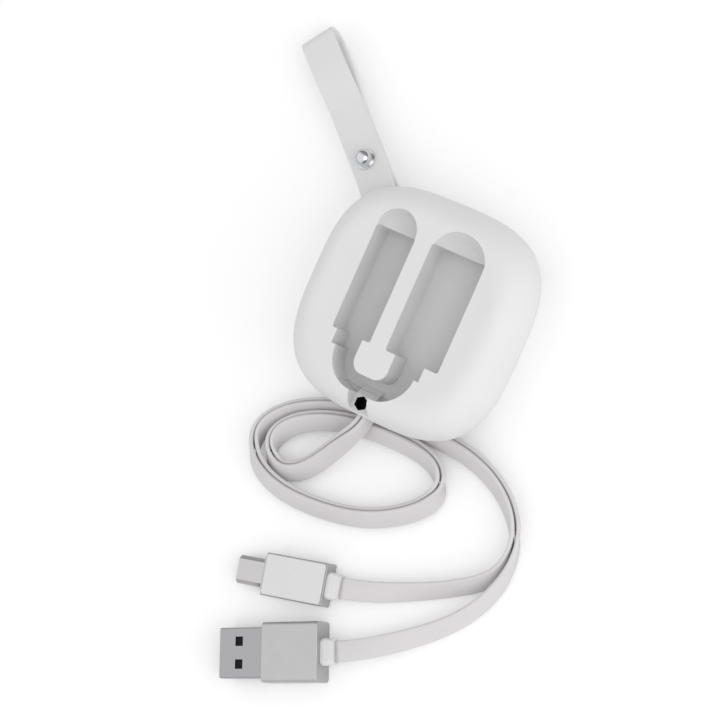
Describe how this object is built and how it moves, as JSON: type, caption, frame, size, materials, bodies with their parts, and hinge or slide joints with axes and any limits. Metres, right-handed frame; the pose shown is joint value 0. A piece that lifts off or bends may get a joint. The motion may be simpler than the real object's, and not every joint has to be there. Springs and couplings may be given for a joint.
{
  "type": "retractable charging cable",
  "caption": "Rounded square reel case with two plug recesses, a snap strap and a pair of flat ribbon cables that end in a USB-A plug and a micro plug.",
  "frame": {"origin": "centre of the flat back of the case, on the surface that the case lies on", "axes": "+Z out of the face with the recesses, +Y along the recesses from the cable notch towards the finger scoops, +X from the micro recess towards the USB-A recess"},
  "size_m": [0.1079, 0.1545, 0.021],
  "materials": {
    "shell_white": "soft-touch white plastic",
    "tray_grey": "matt light grey plastic",
    "reel_plastic": "plain moulded plastic",
    "spring_steel": "bare spring steel",
    "screw_steel": "plated steel",
    "rivet_metal": "polished nickel",
    "strap_white": "soft white rubber",
    "ribbon_white": "smooth white flat cable",
    "boot_white": "soft white rubber",
    "plug_chrome": "bright nickel plate",
    "case_silver": "satin silver metal",
    "plate_white": "smooth white plate",
    "tongue_black": "black insulator",
    "core_dark": "moulded core",
    "contact_gold": "gold plate"
  },
  "bodies": {
    "housing": {"front_shell": "shell_white", "connector_tray": "tray_grey", "back_shell": "shell_white", "case_screws": "screw_steel", "power_spring": "spring_steel", "strap_pin": "screw_steel", "micro_ribbon": "ribbon_white", "usb_ribbon": "ribbon_white", "usb_shell": "plug_chrome", "usb_tongue": "tongue_black", "usb_contacts": "contact_gold", "usb_core": "core_dark", "usb_case": "case_silver", "usb_boot": "boot_white", "micro_shell": "plug_chrome", "micro_tongue": "tongue_black", "micro_contacts": "contact_gold", "micro_latches": "plug_chrome", "micro_core": "core_dark", "micro_case": "case_silver", "micro_plates": "plate_white", "micro_boot": "boot_white"},
    "reel": {"reel_spool": "reel_plastic", "ribbon_winding": "ribbon_white", "spring_cover": "spring_steel"},
    "latch": {"latch_ball": "screw_steel"},
    "strap_loop": {"strap": "strap_white", "rivet_stud": "rivet_metal", "rivet_back": "rivet_metal"}
  },
  "joints": [
    {"name": "reel_turn", "type": "hinge", "parent": "housing", "child": "reel", "pos_m": [0, 0, 0.0075], "axis": [0, 0, 1], "range_deg": [-830, 1080]},
    {"name": "latch_slide", "type": "slide", "parent": "housing", "child": "latch", "axis": [0, 1, 0], "range_m": [0, 0.0013]},
    {"name": "strap_swing", "type": "hinge", "parent": "housing", "child": "strap_loop", "pos_m": [-0.01866, 0.01866, 0.0094], "axis": [0.6293, 0.7771, 0], "range_deg": [0, 30]}
  ]
}
